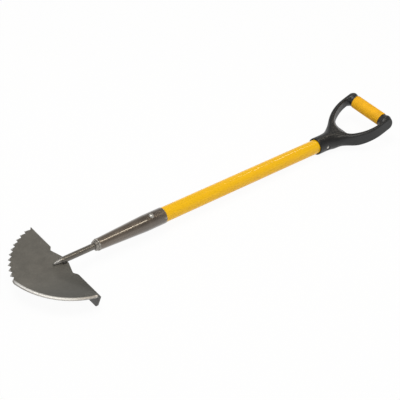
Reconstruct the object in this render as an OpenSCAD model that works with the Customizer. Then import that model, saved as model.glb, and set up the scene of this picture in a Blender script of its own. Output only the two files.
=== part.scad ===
// Half moon edger: a toothed and ground lawn edging blade on a tubular shaft with a D handle.
// The tool lies on its two foot treads and on the collar of its handle, front of the blade up.

/* [Shaft] */
// Outer diameter of the tube
shaft_d = 34; // [28:0.5:40]
// Wall of the tube
shaft_wall = 3; // [2:0.25:5]
// Length of tube that shows between the socket and the handle
shaft_show = 474; // [300:5:700]

/* [Socket] */
// Sheet thickness of the socket
socket_wall = 1.3; // [1:0.1:3]
// Length of the socket that holds the tube
socket_hold = 50; // [45:1:100]
// Length of the tapered part of the socket
socket_taper = 122; // [70:1:150]
// Outer diameter of the socket at its narrow end
socket_tail_d = 26; // [22:0.5:32]
// Length of the closed end that grips the neck rod
socket_tail_hold = 12; // [8:0.5:20]

/* [Neck] */
// Diameter of the neck rod
neck_d = 14; // [10:0.5:18]
// Length of rod that shows between the socket and the blade
neck_show = 80.5; // [60:1:120]
// Length of rod that lies on the blade
neck_lap = 30; // [24:1:50]
// Length of the ground point of the rod
neck_point = 20; // [10:1:24]
// Diameter left at the end of the point
neck_point_d = 4; // [2:0.5:8]
// Height of the rod axis above the front of the blade
neck_rise = 2; // [0:0.25:4]

/* [Blade] */
// Width of the blade across its two corners
blade_w = 247; // [200:1:300]
// Depth from the line of the treads to the tip of the edge
blade_depth = 123; // [100:0.5:140]
// Thickness of the sheet
blade_t = 3; // [2:0.25:5]
// Radius of each half of the cutting edge
edge_r = 155; // [130:1:220]
// Width of the ground bevel along the edge
bevel_w = 7; // [4:0.5:14]
// Thickness left at the ground edge
edge_t = 0.8; // [0.4:0.1:1.5]
// Length by which the plain edge runs past the tip, towards the teeth
plain_over = 7; // [1:0.5:12]
// Number of saw teeth on the other half
tooth_count = 10; // [6:1:14]
// Depth of the saw teeth
tooth_depth = 7.5; // [4:0.5:10]
// Width left at the tip of each saw tooth
tooth_land = 1; // [0.5:0.1:2]

/* [Treads] */
// Depth of the folded treads below the front of the blade
tread_depth = 38; // [20:1:45]
// Distance of the inner end of a tread from the middle
tread_inner = 51; // [44:1:70]
// How far the outer end of a tread slopes in
tread_slope = 8; // [4:0.5:14]
// Radius on the outer lower corner of a tread
tread_corner = 6; // [3:0.5:8]
// Inside radius of the fold
fold_r = 2; // [1:0.25:5]
// Depth of the relief notch below the line of the treads
notch_depth = 8.5; // [8.5:0.5:14]
// Radius at the bottom of the relief notch
notch_r = 5; // [3:0.5:7]
// Distance of the relief notch from the middle
notch_y = 39; // [34:0.5:43]
// Half the width of the flat top of the middle tab
tab_half = 11; // [9.5:0.5:16]
// Rise of the middle tab above the line of the treads
tab_rise = 1; // [0:0.25:4]

/* [Welds] */
// Length of the bead round the neck rod
neck_bead = 9; // [6:0.5:16]
// Largest diameter of that bead
neck_bead_d = 20; // [18:0.5:25]
// Radius of the beads along the rod on the blade
side_bead_r = 3.5; // [2:0.25:5]

/* [Handle] */
// Wall of the collar round the tube
collar_wall = 3.8; // [3:0.1:7]
// Length of the collar up to where the handle turns up
collar_len = 56; // [53:1:90]
// Depth of the tube in the collar
collar_hold = 50; // [44:1:53]
// Angle by which the D turns up from the shaft
crank = 19; // [0:0.5:30]
// Distance from the turn to the axis of the grip
grip_reach = 129; // [115:1:150]
// Radius of the arms in the plane of the D
arm_r = 118; // [95:1:140]
// Width of the arms in the plane of the D
arm_w = 11.5; // [9:0.5:16]
// Depth of the arms across the plane of the D
arm_depth = 30; // [22:0.5:34]
// Angle by which the arms lean out at the back of the D
arm_lean = 10; // [0:1:20]
// Distance of the arms from the middle, at the grip
arm_spread = 63.5; // [58:0.5:75]
// Distance of the arms from the middle, at their roots
arm_root = 6; // [0:0.5:12]
// Distance from the grip axis at which the arms run straight
arm_straight = 14; // [8:0.5:20]
// Distance from the roots of the arms to the throat of the D
throat_reach = 22.5; // [16:0.5:32]
// Thickness of the web at the throat
web_t = 26; // [20:0.5:28]
// Radius of the flare from the collar into the arms
flare_r = 40; // [25:1:60]
// Thickness of the flare across the plane of the D
flare_t = 24; // [16:0.5:25]

/* [Grip] */
// Diameter of the grip
grip_d = 33; // [28:0.5:38]
// Length of the grip sleeve
grip_len = 87; // [75:1:100]
// Wall of the grip sleeve
grip_wall = 4; // [2.5:0.25:6]
// Radius on the outer ends of the grip bar
bar_end_r = 9; // [4:0.5:12]

/* [Fasteners] */
// Diameter of the socket rivet
rivet_d = 6; // [4:0.25:8]
// Diameter of its heads
rivet_head_d = 11; // [9:0.5:14]
// Height of its heads
rivet_head_h = 3; // [2:0.25:4]
// Distance of the rivet from the mouth of the socket
rivet_inset = 35; // [20:1:50]
// Angle of the rivet round the shaft, from the front of the blade
rivet_turn = 12; // [0:1:30]
// Diameter of the handle pin
pin_d = 5; // [4:0.25:7]
// Diameter of its heads
pin_head_d = 9; // [7.5:0.25:11]
// Height of its heads
pin_head_h = 2; // [1:0.25:2.5]
// Depth of the recesses that the heads lie in, from the outside of the collar
pin_sunk = 2.4; // [2:0.1:3]
// Distance of the pin from the mouth of the handle
pin_inset = 26; // [15:1:38]
// Length of the plug beyond the socket, or below the handle
plug_over = 15; // [5:1:40]

/* [Fits] */
// Room left round a piece that is pushed into another
fit = 0.1; // [0.05:0.05:0.3]

/* [Hidden] */
$fn = 96;
steel = "#69655d";
ground_steel = "#a9a49a";
socket_paint = "#5f564c";
rivet_steel = "#d8d3c8";
shaft_yellow = "#f3bd1e";
grip_yellow = "#f2ae28";
moulded_black = "#434345";
plug_wood = "#c8a878";
over = 1;

shaft_r = shaft_d / 2;
bore_r = shaft_r + fit;
plug_r = shaft_r - shaft_wall - fit;
socket_r = bore_r + socket_wall;
tail_r = socket_tail_d / 2;
neck_r = neck_d / 2;
collar_r = bore_r + collar_wall;
grip_r = grip_d / 2;
bar_r = grip_r - grip_wall;

// Places along the shaft, from the mouth of the socket, which is at zero
tail_x = -socket_hold - socket_taper;
tab_x = tail_x - neck_show;
chord_x = tab_x - tab_rise;
point_x = tab_x - neck_lap;
mouth_x = shaft_show;
turn_x = mouth_x + collar_len;
tube_end_x = mouth_x + collar_hold;
face_z = -neck_rise;
back_z = face_z - blade_t;
tread_z = face_z - tread_depth;
fold_out = fold_r + blade_t;

// The edge: two arcs of one radius that run from the corners to the tip
half_w = blade_w / 2;
edge_chord = norm([half_w, blade_depth]);
edge_sag = sqrt(edge_r * edge_r - edge_chord * edge_chord / 4);
edge_cx = -blade_depth / 2 + half_w * edge_sag / edge_chord;
edge_cy = half_w / 2 - blade_depth * edge_sag / edge_chord;
corner_a = atan2(half_w - edge_cy, -edge_cx);
tip_a = atan2(-edge_cy, -blade_depth - edge_cx);
gullet_part = 0.62;
end_part = 1.3;
teeth_a = tip_a - plain_over / edge_r * 180 / PI;
tooth_step = (teeth_a - corner_a) / (tooth_count + end_part);
land_a = tooth_land / edge_r * 180 / PI;

// Places along the D, from the turn of the handle
arc_u = grip_reach - arm_straight;
arc_v = arm_spread - arm_r;
arm_sweep = acos(1 - (arm_spread - arm_root) / arm_r);
root_u = arc_u - arm_r * sin(arm_sweep);
throat_u = root_u + throat_reach;

// How the tool lies: the lower edge of the treads and the turn of the handle touch the floor
lie_base = turn_x - chord_x;
lie_span = norm([lie_base, tread_z]);
lie_a = atan2(-tread_z, lie_base) - asin(collar_r / lie_span);
lie_z = turn_x * sin(lie_a) + collar_r;
tip_far_x = (chord_x - blade_depth) * cos(lie_a) + back_z * sin(lie_a);
grip_x = turn_x + grip_reach * cos(crank);
grip_z = grip_reach * sin(crank);
grip_far_x = grip_x * cos(lie_a) + grip_z * sin(lie_a) + grip_r;
middle_x = (tip_far_x + grip_far_x) / 2;

// Puts a piece from the frame of the shaft into the frame of the tool as it lies
module lie() {
    translate([-middle_x, 0, lie_z])
        rotate([0, lie_a, 0])
            children();
}

// Frame of the D: its x axis runs from the turn of the handle to the grip
module in_handle() {
    translate([turn_x, 0, 0])
        rotate([0, -crank, 0])
            children();
}

// A piece turned about the shaft, from points of radius and place along the shaft
module turned(points) {
    rotate([0, 90, 0])
        rotate_extrude()
            polygon(points);
}

module rod_x(r, x0, x1) {
    translate([x0, 0, 0])
        rotate([0, 90, 0])
            cylinder(r = r, h = x1 - x0);
}

module rod_y(r, y0, y1) {
    translate([0, y0, 0])
        rotate([-90, 0, 0])
            cylinder(r = r, h = y1 - y0);
}

module rivet_hole() {
    translate([-rivet_inset, 0, 0])
        rotate([rivet_turn, 0, 0])
            cylinder(r = rivet_d / 2 + fit, h = 4 * shaft_d, center = true);
}

module pin_hole() {
    translate([mouth_x + pin_inset, 0, 0])
        rod_y(pin_d / 2 + fit, -2 * shaft_d, 2 * shaft_d);
}

// A point of the toothed half of the edge, by angle and depth below the edge
function edge_point(a, depth) = [edge_cx + (edge_r - depth) * cos(a), edge_cy + (edge_r - depth) * sin(a)];

module half_moon() {
    intersection() {
        translate([edge_cx, edge_cy])
            circle(r = edge_r, $fn = 240);
        translate([edge_cx, -edge_cy])
            circle(r = edge_r, $fn = 240);
        translate([-2 * blade_depth - fold_out, -blade_w])
            square([2 * blade_depth, 2 * blade_w]);
    }
}

// Sheet between the treads, before the notches are cut
module middle_tab() {
    translate([-2 * notch_depth, -notch_y])
        square([2 * notch_depth + tab_rise, 2 * notch_y]);
}

// Where a line from point p touches the circle of radius r round c, on one side or the other
function touch(p, c, r, side) =
    let (d = p - c, a = atan2(d[1], d[0]) + side * acos(r / norm(d))) c + r * [cos(a), sin(a)];

// Relief notches: round dips with straight sides, between the middle tab and the treads
module notches() {
    dip = [notch_r - notch_depth, notch_y];
    tab_top = [tab_rise, tab_half];
    tread_top = [0, tread_inner];
    for (side = [0, 1])
        mirror([0, side]) {
            translate(dip)
                circle(r = notch_r);
            polygon([tab_top, touch(tab_top, dip, notch_r, -1), touch(tread_top, dip, notch_r, 1), tread_top,
                [tab_rise + over, tread_inner], [tab_rise + over, tab_half]]);
        }
}

// Gaps between the saw teeth, drawn out past the edge by a part of their depth
module tooth_gaps() {
    reach = 1.3;
    for (k = [0 : tooth_count]) {
        tip = teeth_a - k * tooth_step - land_a / 2;
        next = tip - (k == tooth_count ? end_part : 1) * tooth_step + land_a;
        gullet = edge_point(tip - gullet_part * tooth_step, tooth_depth);
        polygon([gullet, gullet + reach * (edge_point(tip, 0) - gullet),
            gullet + reach * (edge_point(next, 0) - gullet)]);
    }
}

// Cones that take the ground bevel off the front of both halves
module bevel_cut() {
    slope = (blade_t - edge_t) / bevel_w;
    far = bevel_w + over;
    intersection() {
        for (side = [-1, 1])
            translate([edge_cx, side * edge_cy, 0])
                rotate_extrude($fn = 240)
                    polygon([[edge_r - bevel_w, 0], [edge_r + over, 0], [edge_r + over, -far * slope]]);
        translate([-2 * blade_depth - fold_out - over, -blade_w, -blade_t])
            cube([2 * blade_depth, 2 * blade_w, 2 * blade_t]);
    }
}

// Section of a fold and its tread, in the plane across the fold
module fold_section() {
    translate([-fold_out, -fold_out]) {
        intersection() {
            difference() {
                circle(r = fold_out);
                circle(r = fold_r);
            }
            square(fold_out);
        }
    }
    translate([-blade_t, -tread_depth])
        square([blade_t, tread_depth - fold_out]);
}

// Outline of a tread, seen along the shaft
module tread_outline() {
    low = half_w - tread_slope;
    difference() {
        polygon([[notch_y, 0], [half_w, 0], [low, -tread_depth], [notch_y, -tread_depth]]);
        translate([low - tread_corner, -tread_depth])
            difference() {
                square(2 * tread_corner);
                translate([0, tread_corner])
                    circle(r = tread_corner);
                translate([-tread_corner, tread_corner])
                    square(4 * tread_corner);
            }
    }
}

module tread() {
    intersection() {
        translate([0, half_w + over, 0])
            rotate([90, 0, 0])
                linear_extrude(height = half_w)
                    fold_section();
        translate([-fold_out - over, 0, 0])
            rotate([90, 0, 90])
                linear_extrude(height = fold_out + 2 * over)
                    tread_outline();
    }
}

// Flat of the blade, before its teeth and notches are cut
module plate() {
    translate([0, 0, -blade_t])
        linear_extrude(height = blade_t) {
            half_moon();
            middle_tab();
        }
}

module blade() {
    color(steel)
        lie()
            translate([chord_x, 0, face_z])
                difference() {
                    union() {
                        plate();
                        tread();
                        mirror([0, 1, 0])
                            tread();
                    }
                    bevel_cut();
                    translate([0, 0, -tread_depth - over])
                        linear_extrude(height = tread_depth + 2 * over) {
                            notches();
                            tooth_gaps();
                        }
                }
}

// The rod as a full round, without the flat that sits on the blade
module whole_rod() {
    turned([[0, point_x], [neck_point_d / 2, point_x], [neck_r, point_x + neck_point],
        [neck_r, tail_x + socket_tail_hold], [0, tail_x + socket_tail_hold]]);
}

module neck_rod() {
    color(steel)
        lie()
            difference() {
                whole_rod();
                translate([point_x - over, -neck_d, face_z - 2 * neck_d])
                    cube([neck_lap + over, 2 * neck_d, 2 * neck_d]);
            }
}

module blade_weld() {
    bead_y = sqrt(neck_r * neck_r - neck_rise * neck_rise);
    color(ground_steel)
        lie()
            for (side = [-1, 1])
                difference() {
                    translate([0, side * bead_y, face_z]) {
                        rod_x(side_bead_r, point_x + neck_point, tab_x - side_bead_r);
                        translate([tab_x - side_bead_r, 0, 0])
                            sphere(r = side_bead_r);
                        translate([point_x + neck_point, 0, 0])
                            sphere(r = side_bead_r);
                    }
                    whole_rod();
                    translate([point_x - neck_d, -2 * neck_d, face_z - neck_d])
                        cube([4 * neck_lap, 4 * neck_d, neck_d]);
                }
}

module neck_weld() {
    bead_r = neck_bead_d / 2;
    color(steel)
        lie()
            turned([[neck_r, tail_x], [bead_r + socket_wall, tail_x], [bead_r, tail_x - neck_bead / 2],
                [neck_r + socket_wall, tail_x - neck_bead], [neck_r, tail_x - neck_bead]]);
}

module socket() {
    seat_r = shaft_r - shaft_wall / 2;
    color(socket_paint)
        lie()
            difference() {
                turned([[bore_r, 0], [socket_r, 0], [socket_r, -socket_hold], [tail_r, tail_x], [neck_r, tail_x],
                    [neck_r, tail_x + socket_tail_hold], [tail_r - socket_wall, tail_x + socket_tail_hold],
                    [seat_r, -socket_hold], [bore_r, -socket_hold]]);
                rivet_hole();
            }
}

// Rounded head that fits a tube of radius r, with its base at the top of the tube
module saddle_head(r) {
    ball_r = (rivet_head_h * rivet_head_h + rivet_head_d * rivet_head_d / 4) / (2 * rivet_head_h);
    difference() {
        union() {
            intersection() {
                translate([0, 0, r + rivet_head_h - ball_r])
                    sphere(r = ball_r);
                translate([0, 0, r])
                    cylinder(r = rivet_head_d, h = rivet_head_d);
            }
            translate([0, 0, r / 2])
                cylinder(r = rivet_head_d / 2, h = r / 2);
        }
        rod_x(r, -rivet_head_d, rivet_head_d);
    }
}

module socket_rivet() {
    color(rivet_steel)
        lie()
            translate([-rivet_inset, 0, 0])
                rotate([rivet_turn, 0, 0]) {
                    cylinder(r = rivet_d / 2, h = 2 * socket_r, center = true);
                    saddle_head(socket_r);
                    mirror([0, 0, 1])
                        saddle_head(socket_r);
                }
}

module shaft_tube() {
    color(shaft_yellow)
        lie()
            difference() {
                rod_x(shaft_r, -socket_hold, tube_end_x);
                rod_x(shaft_r - shaft_wall, -socket_hold - over, tube_end_x + over);
                rivet_hole();
                pin_hole();
            }
}

module socket_plug() {
    color(plug_wood)
        lie()
            difference() {
                rod_x(plug_r, -socket_hold, plug_over);
                rivet_hole();
            }
}

module handle_plug() {
    color(plug_wood)
        lie()
            difference() {
                rod_x(plug_r, mouth_x - plug_over, tube_end_x);
                pin_hole();
            }
}

// Section of an arm: its two edges are full rounds
module arm_section() {
    edge = arm_depth / 2 - arm_w / 2;
    rotate(arm_lean) {
        square([arm_w, 2 * edge], center = true);
        translate([0, edge])
            circle(r = arm_w / 2);
        translate([0, -edge])
            circle(r = arm_w / 2);
    }
}

module arm() {
    translate([arc_u, arc_v, 0])
        rotate([0, 0, 90])
            rotate_extrude(angle = arm_sweep)
                translate([arm_r, 0])
                    arm_section();
    translate([arc_u, arm_spread, 0])
        rotate([90, 0, 90])
            linear_extrude(height = arm_straight)
                arm_section();
}

// Web that closes the D below the hand, with a full round edge at the throat
module web() {
    nose_r = web_t / 2;
    nose_u = throat_u - nose_r;
    intersection() {
        union() {
            translate([-arm_r, -arm_r, -nose_r])
                cube([arm_r + nose_u, 2 * arm_r, web_t]);
            translate([nose_u, 0, 0])
                rod_y(nose_r, -arm_r, arm_r);
        }
        translate([arc_u, arc_v, 0])
            cylinder(r = arm_r, h = 2 * web_t, center = true, $fn = 200);
        translate([arc_u, -arc_v, 0])
            cylinder(r = arm_r, h = 2 * web_t, center = true, $fn = 200);
    }
}

// Tapered shoulder between the collar and the web
module shoulder() {
    rotate([0, 90, 0])
        cylinder(r1 = collar_r, r2 = arm_depth / 2, h = throat_u - web_t / 2);
}

// Flare from the collar into the outer sides of the arms: a bell, cut flat in front and behind
module flare() {
    outer_r = arm_r + arm_w / 2;
    rise = collar_r - over + flare_r;
    start_u = arc_u - sqrt(pow(outer_r + flare_r, 2) - pow(rise - arc_v, 2));
    run = (arc_u - start_u) * flare_r / (outer_r + flare_r);
    intersection() {
        translate([start_u, 0, 0])
            rotate([0, 90, 0])
                rotate_extrude()
                    difference() {
                        square([rise, run]);
                        translate([rise, 0])
                            circle(r = flare_r);
                    }
        cube([4 * arm_r, 4 * arm_r, flare_t], center = true);
    }
}

// Round end of the grip bar, from the sleeve to the outside of the arm
module bar_end() {
    end_y = arm_spread + arm_w / 2;
    rotate([-90, 0, 0])
        rotate_extrude() {
            translate([0, grip_len / 2])
                square([grip_r, end_y - bar_end_r - grip_len / 2]);
            translate([0, end_y - bar_end_r - over])
                square([grip_r - bar_end_r, bar_end_r + over]);
            intersection() {
                translate([grip_r - bar_end_r, end_y - bar_end_r])
                    circle(r = bar_end_r);
                translate([0, grip_len / 2])
                    square([grip_r, end_y]);
            }
        }
}

module handle_frame() {
    color(moulded_black)
        lie()
            difference() {
                union() {
                    rod_x(collar_r, mouth_x, turn_x);
                    in_handle() {
                        sphere(r = collar_r);
                        shoulder();
                        flare();
                        web();
                        arm();
                        mirror([0, 1, 0])
                            arm();
                        translate([grip_reach, 0, 0]) {
                            rod_y(bar_r, -arm_spread, arm_spread);
                            bar_end();
                            mirror([0, 1, 0])
                                bar_end();
                        }
                    }
                }
                rod_x(bore_r, mouth_x - over, tube_end_x);
                pin_hole();
                for (side = [-1, 1])
                    translate([mouth_x + pin_inset, side * (collar_r - pin_sunk), 0])
                        rotate([-90 * side, 0, 0])
                            cylinder(r = pin_head_d / 2 + pin_sunk / 2, h = collar_r);
            }
}

module handle_pin() {
    seat_y = collar_r - pin_sunk;
    ball_r = (pin_head_h * pin_head_h + pin_head_d * pin_head_d / 4) / (2 * pin_head_h);
    color(rivet_steel)
        lie()
            translate([mouth_x + pin_inset, 0, 0]) {
                rod_y(pin_d / 2, -seat_y, seat_y);
                for (side = [-1, 1])
                    intersection() {
                        translate([0, side * (seat_y + pin_head_h - ball_r), 0])
                            sphere(r = ball_r);
                        translate([0, side * seat_y, 0])
                            rotate([-90 * side, 0, 0])
                                cylinder(r = pin_head_d, h = pin_head_d);
                    }
            }
}

module grip_sleeve() {
    color(grip_yellow)
        lie()
            in_handle()
                translate([grip_reach, 0, 0])
                    difference() {
                        rod_y(grip_r, -grip_len / 2, grip_len / 2);
                        rod_y(bar_r, -grip_len, grip_len);
                    }
}

blade();
neck_rod();
blade_weld();
neck_weld();
socket();
socket_rivet();
shaft_tube();
socket_plug();
handle_frame();
handle_plug();
handle_pin();
grip_sleeve();
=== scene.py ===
"""Half moon edger: the visible pieces, finishes and stage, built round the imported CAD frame."""

import functools
import itertools
import math

import bmesh
import bpy
import numpy as np
from bpy.props import FloatProperty, FloatVectorProperty, IntProperty, PointerProperty
from mathutils import Matrix, Vector


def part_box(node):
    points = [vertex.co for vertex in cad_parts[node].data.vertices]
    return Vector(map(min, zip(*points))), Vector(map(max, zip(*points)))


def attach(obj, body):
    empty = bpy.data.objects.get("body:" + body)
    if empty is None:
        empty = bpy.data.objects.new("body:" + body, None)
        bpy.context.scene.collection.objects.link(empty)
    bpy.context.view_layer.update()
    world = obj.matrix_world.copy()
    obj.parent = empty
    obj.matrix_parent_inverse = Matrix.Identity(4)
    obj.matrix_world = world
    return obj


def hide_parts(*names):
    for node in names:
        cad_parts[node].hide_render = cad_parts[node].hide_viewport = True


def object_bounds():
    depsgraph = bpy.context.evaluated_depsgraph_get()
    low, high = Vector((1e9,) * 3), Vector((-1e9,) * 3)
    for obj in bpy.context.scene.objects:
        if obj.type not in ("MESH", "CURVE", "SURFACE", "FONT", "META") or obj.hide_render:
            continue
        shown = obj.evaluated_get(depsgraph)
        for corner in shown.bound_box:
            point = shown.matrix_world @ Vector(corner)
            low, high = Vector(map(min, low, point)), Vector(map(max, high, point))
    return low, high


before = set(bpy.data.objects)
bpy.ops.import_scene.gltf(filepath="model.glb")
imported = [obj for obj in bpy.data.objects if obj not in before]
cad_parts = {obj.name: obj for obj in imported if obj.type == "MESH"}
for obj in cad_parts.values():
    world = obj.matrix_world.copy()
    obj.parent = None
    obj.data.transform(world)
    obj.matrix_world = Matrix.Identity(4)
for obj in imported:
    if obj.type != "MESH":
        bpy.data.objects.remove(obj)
CAD_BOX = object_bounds()

bl_info = {
    "name": "Half Moon Edger",
    "version": (1, 0, 0),
    "blender": (4, 5, 0),
    "location": "3D View > Sidebar > Edger",
    "description": "Builds the looks of a long handled half moon edger round its CAD frame",
    "category": "Object",
}

MM = 0.001
BODY = "root"
SAME_POINT = 0.01 * MM

# Second colours of the finishes
# Painted shade on the plain side of the blade
SIDE_SHADE_STEEL = (0.056, 0.059, 0.055)
# Painted highlight on the ground edge
HIGHLIGHT_STEEL = (0.63, 0.625, 0.615)
TAN_EDGE_STEEL = (0.27, 0.23, 0.18)
CHIPPED_STEEL = (0.34, 0.32, 0.29)
HEAT_TINT = (0.20, 0.16, 0.10)
ORANGE_FIBRE = (0.93, 0.46, 0.02)
# Painted light on the arms of the D handle
ARM_LIGHT_PLASTIC = (0.0135, 0.0140, 0.0155)

# Blade: angles in degrees, and what counts as ground steel near its cutting edge
FLAT_ANGLE, SHEARED_ANGLE, BLADE_CREASE = 0.6, 24, 32
ARC_CENTRE_UP, ARC_CENTRE_OVER = 29.3 * MM, 28.7 * MM
RIM_FACING, SHEET_FACING = 0.5, 0.992
RIM_DEPTH = 1.5 * MM
TREAD_CLEARANCE = 8 * MM
BAND_DULLING, TEETH_DULLING = 0.6, 0.25
TOOTH_RIM = 0.33
GRIND_LINES = 900.0

# Welds: places and radii in millimetres in the frame of the shaft, angles in radians
NECK_PASSES = ((-173.4, 10.2, 0.2), (-178.6, 7.9, 0.7))
RING_POINTS = 36
SEAT_PLACES, SEAT_SIDE, SEAT_LEVEL = (-262.5, -259.0, -255.8), 6.9, -1.2
CORE_SHARE, RIPPLE_FLATNESS = 0.95, 0.62

# Runs over which something changes, each given by its start and its length
TEETH_START = (2 * MM, 5 * MM)
FRONT_FLATTENS = (-4 * MM, 40 * MM)
BACK_FLATTENS = (-14 * MM, 40 * MM)
EDGE_TIGHTENS = (-4 * MM, 50 * MM)
ARM_DEEPENS = (20 * MM, 80 * MM)
ARM_LEANS = (0.0, 30 * MM)
FILLET_FADES = (53 * MM, 13 * MM)

# Handle: small rounds, and the steps that move its skin onto its surface
INNER_FILLET, OUTER_FILLET = 12 * MM, 1.5 * MM
THROAT_FILLET = 14 * MM
MOUTH_ROUND, BORE_ROUND, PIN_ROUND = 1.6 * MM, 1.0 * MM, 0.8 * MM
DRUM_INSET = 1.2 * MM
SKIN_MARGIN = 4 * MM
SKIN_ROUNDS, SKIN_SHARE = 3, 0.5
PROBE, LONGEST_MOVE, LEAST_SLOPE = 0.05 * MM, 1.0 * MM, 0.2

# Grip
SLEEVE_SIDES, LIP_STEPS, GRIP_CREASE = 128, 5, 40

# Camera of the photograph, in the frame of the shaft: its place and the axes of its picture
EYE = (-1.256442, -1.303780, 1.523357)
EYE_RIGHT = (0.753964, -0.645278, 0.123104)
EYE_UP = (0.339864, 0.543531, 0.767507)
EYE_BACK = (-0.562166, -0.536834, 0.629109)
FRAME_WIDTH = 36.0
SIGHT = 50.0

# Stage
FLOOR_SIDES = 96
FLOOR_GREY = (0.9, 0.9, 0.9, 1)
FLOOR_GLOW = 0.95
ROOM_WHITE = (1.0, 0.995, 0.98, 1)
LOW_SKY, HIGH_SKY = -0.3, 0.75
KEY_COLOUR, STRIP_COLOUR = (1.0, 0.98, 0.95), (1.0, 0.91, 0.74)


def shaft_frame():
    """Matrix from the tool's own frame to the floor's: x runs up the shaft from the mouth of the socket,
    y to the toothed side and z out of the front of the blade."""
    tube = np.array([v.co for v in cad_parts["shaft_tube"].data.vertices])
    socket = np.array([v.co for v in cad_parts["socket"].data.vertices])
    middle = tube.mean(0)
    along = np.linalg.svd(tube - middle, full_matrices=False)[2][0]
    along = along * np.sign(along[0])
    mouth = middle + along * ((socket - middle) @ along).max()
    side = np.array([0.0, 1.0, 0.0])
    turned = Matrix([*zip(along, side, np.cross(along, side))]).to_4x4()
    return Matrix.Translation(Vector(mouth)) @ turned


TOOL = shaft_frame()
LEAN_OF_SHAFT = math.atan2(-TOOL[2][0], TOOL[0][0])


def length_prop(name, description, size, **limits):
    """A length that is given in millimetres."""
    return FloatProperty(name=name, description=description, default=size * MM, unit="LENGTH", **limits)


def angle_prop(name, description, size):
    """An angle that is given in degrees."""
    return FloatProperty(name=name, description=description, default=math.radians(size), subtype="ANGLE")


def colour_prop(name, description, default):
    return FloatVectorProperty(name=name, description=description, default=default, subtype="COLOR", min=0, max=1)


class EdgerSizes(bpy.types.PropertyGroup):
    """Sizes of what the scene adds to the CAD frame."""

    edge_round: length_prop("Sheared edge", "Rounding of the blade's cut edges", 0.35, min=0.0)
    edge_radius: length_prop("Edge radius", "Radius of the two arcs of the cutting edge", 155, min=50 * MM)
    edge_band: length_prop("Ground band", "Width of the ground band along the cutting edge", 7, min=1 * MM)
    tread_line: length_prop("Tread line", "Place of the blade's straight edge along the shaft's axis", -253.5)
    tip_band: length_prop("Ground tips", "Depth of the ground facet on each tooth", 3.6, min=0.5 * MM)
    plain_over: length_prop("Plain edge", "Distance by which the plain edge runs past the middle", 8)
    neck_beads: IntProperty(
        name="Neck weld ripples", description="Ripples in each pass of the weld round the neck", default=12, min=6)
    neck_bead: length_prop("Neck weld bead", "Radius of one ripple of the weld round the neck", 3.7, min=1 * MM)
    seat_beads: IntProperty(
        name="Blade weld ripples", description="Ripples in each weld that holds the rod to the blade",
        default=7, min=3)
    seat_bead: length_prop("Blade weld bead", "Radius of one ripple of a weld on the blade", 3.0, min=1 * MM)
    grip_length: length_prop("Grip length", "Length of the sleeve on the bar", 87, min=20 * MM)
    grip_radius: length_prop("Grip radius", "Outside radius of the sleeve", 16.5, min=5 * MM)
    grip_wall: length_prop("Grip wall", "Wall of the sleeve", 4, min=1 * MM)
    grip_lip: length_prop("Grip lip", "Rounding of the sleeve's ends", 1.2, min=0.1 * MM)


class HandleSizes(bpy.types.PropertyGroup):
    """Sizes of the moulded D handle, in the frame of the shaft."""

    mouth: length_prop("Mouth", "Distance of the collar's mouth from the socket's", 474)
    collar_length: length_prop("Collar", "Length of the collar up to the turn of the handle", 56)
    collar_radius: length_prop("Collar radius", "Outside radius of the collar", 20.9)
    bore: length_prop("Bore", "Radius of the hole for the shaft", 17.1)
    bore_depth: length_prop("Bore depth", "Depth of the hole for the shaft", 50)
    crank: angle_prop("Crank", "Angle of the D to the shaft", 19)
    reach: length_prop("Reach", "Distance from the turn to the middle of the grip", 129)
    arm_radius: length_prop("Arm radius", "Radius of the bow of an arm", 118)
    arm_spread: length_prop("Arm spread", "Distance from the middle to an arm at the grip", 62.3)
    arm_straight: length_prop("Arm straight", "Straight end of an arm at the grip", 23)
    arm_width: length_prop("Arm width", "Width of an arm", 11.5)
    hole_half: length_prop("Hole", "Half the width of the hand hole at the grip", 57.6)
    hole_radius: length_prop("Hole radius", "Radius of the bow of the hand hole", 113)
    hole_straight: length_prop("Hole straight", "Straight end of the hand hole at the grip", 16)
    arm_lean: angle_prop("Arm lean", "Angle by which an arm's back leans outwards", 13)
    arm_edge: length_prop("Arm edge", "Rounding of an arm's edges", 4.2)
    front_at_grip: length_prop("Front at grip", "Depth of an arm in front of the middle plane, at the grip", 14.5)
    front_at_root: length_prop("Front at root", "Depth of an arm in front of the middle plane, at its root", 14)
    back_at_grip: length_prop("Back at grip", "Depth of an arm behind the middle plane, at the grip", 15)
    back_at_root: length_prop("Back at root", "Depth of an arm behind the middle plane, at its root", 17)
    throat: length_prop("Throat", "Distance from the turn to the throat of the D", 27)
    flare: length_prop("Flare", "Radius of the flare from the collar into the arms", 95)
    bend: length_prop("Bend", "Half the length over which the axis turns from the shaft to the D", 14)
    throat_slope: angle_prop("Throat slope", "Angle of the throat's sloped wall to the plane of the D", 49)
    throat_sunk: length_prop("Throat depth", "Depth of the throat's sloped wall below the front", 20)
    hole_round: length_prop("Hole rounding", "Rounding of the edges of the hand hole", 4.5)
    bar_radius: length_prop("Bar radius", "Radius of the bar under the sleeve", 12.5)
    end_radius: length_prop("Bar end radius", "Radius of the drum at each end of the bar", 15.4)
    end_round: length_prop("Bar end rounding", "Rounding of the drum's outer edge", 8.0)
    pin_place: length_prop("Pin place", "Distance of the pin from the mouth", 26)
    pin_recess: length_prop("Pin recess", "Radius of the recess round a pin head", 5.7)
    pin_depth: length_prop("Pin depth", "Depth of that recess", 2.4)
    pin_hole: length_prop("Pin hole", "Radius of the hole for the pin", 2.6)
    cell: length_prop("Cell", "Size of the grid cells that the handle's skin is made on", 1.15, min=0.6 * MM)


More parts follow.
